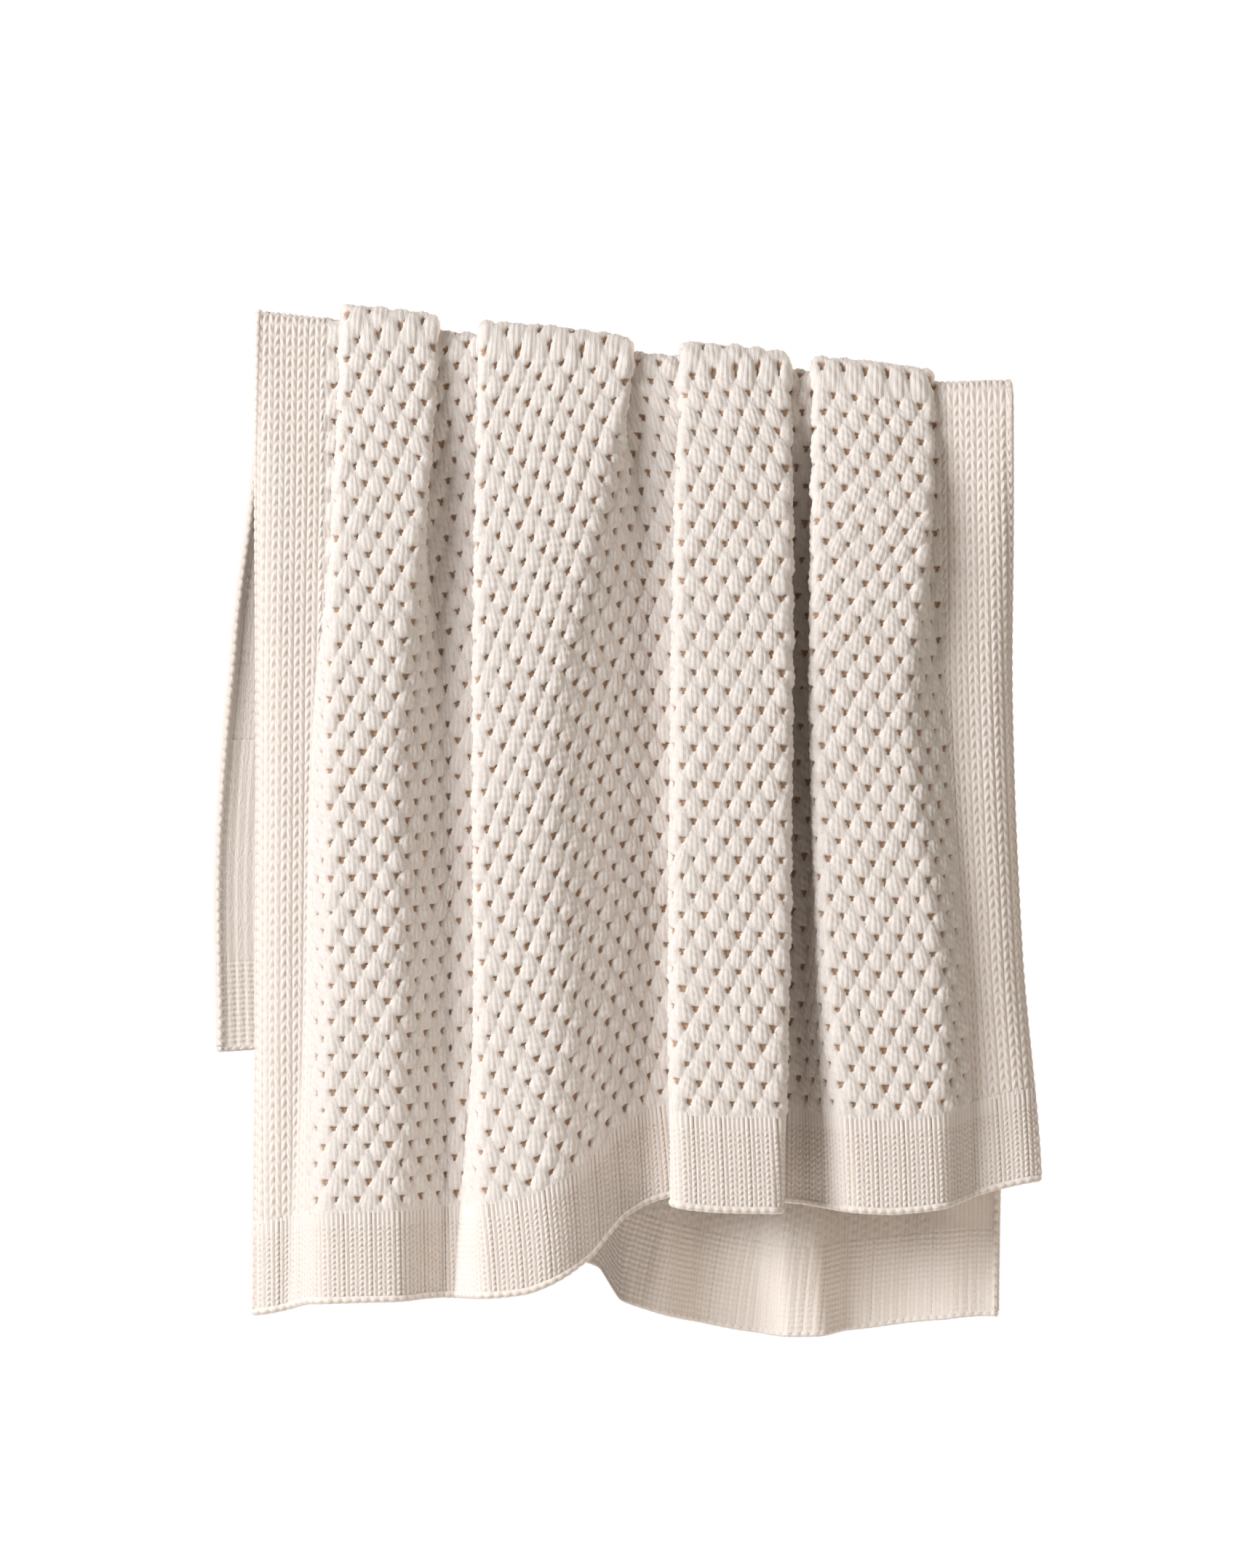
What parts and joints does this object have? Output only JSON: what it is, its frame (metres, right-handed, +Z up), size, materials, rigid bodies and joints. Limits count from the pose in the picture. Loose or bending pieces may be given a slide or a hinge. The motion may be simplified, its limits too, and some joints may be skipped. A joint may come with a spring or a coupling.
{
  "type": "knitted throw blanket",
  "caption": "Chunky cotton knit throw hung over a sloping rail in loose pleats: honeycomb panel, plain borders and hem bands, front and back drops that swing.",
  "frame": {"origin": "on the centre line of the rail that the throw hangs over, at the middle of the throw's gathered width", "axes": "+X to the right along the rail's level run, +Y to the back, +Z up; the rail slopes down 6.3 degrees towards +X"},
  "size_m": [0.8403, 0.2312, 1.0476],
  "materials": {
    "honeycomb_knit": "cream cotton yarn in a raised honeycomb tuck stitch, matt",
    "plain_knit": "cream cotton yarn in tall slanting plain stitches, matt",
    "hem_knit": "cream cotton yarn in small plain stitches, matt",
    "edge_chain": "cream cotton yarn in a linked chain, matt"
  },
  "bodies": {
    "saddle": {"left_selvedge_over_rail": "edge_chain", "left_border_over_rail": "plain_knit", "honeycomb_over_rail": "honeycomb_knit", "right_border_over_rail": "plain_knit", "right_selvedge_over_rail": "edge_chain"},
    "front_drop": {"left_selvedge_front": "edge_chain", "left_border_front": "plain_knit", "honeycomb_front": "honeycomb_knit", "right_border_front": "plain_knit", "right_selvedge_front": "edge_chain", "hem_band_front": "hem_knit", "bind_off_chain": "edge_chain"},
    "back_drop": {"left_selvedge_back": "edge_chain", "left_border_back": "plain_knit", "honeycomb_back": "honeycomb_knit", "right_border_back": "plain_knit", "right_selvedge_back": "edge_chain", "hem_band_back": "hem_knit", "cast_on_chain": "edge_chain"}
  },
  "joints": [
    {"name": "front_swing", "type": "hinge", "parent": "saddle", "child": "front_drop", "pos_m": [0, -0.0368, 0], "axis": [-0.994, 0, 0.1097], "range_deg": [0, 45]},
    {"name": "back_swing", "type": "hinge", "parent": "saddle", "child": "back_drop", "pos_m": [0, 0.0368, 0], "axis": [0.994, 0, -0.1097], "range_deg": [0, 45]}
  ]
}
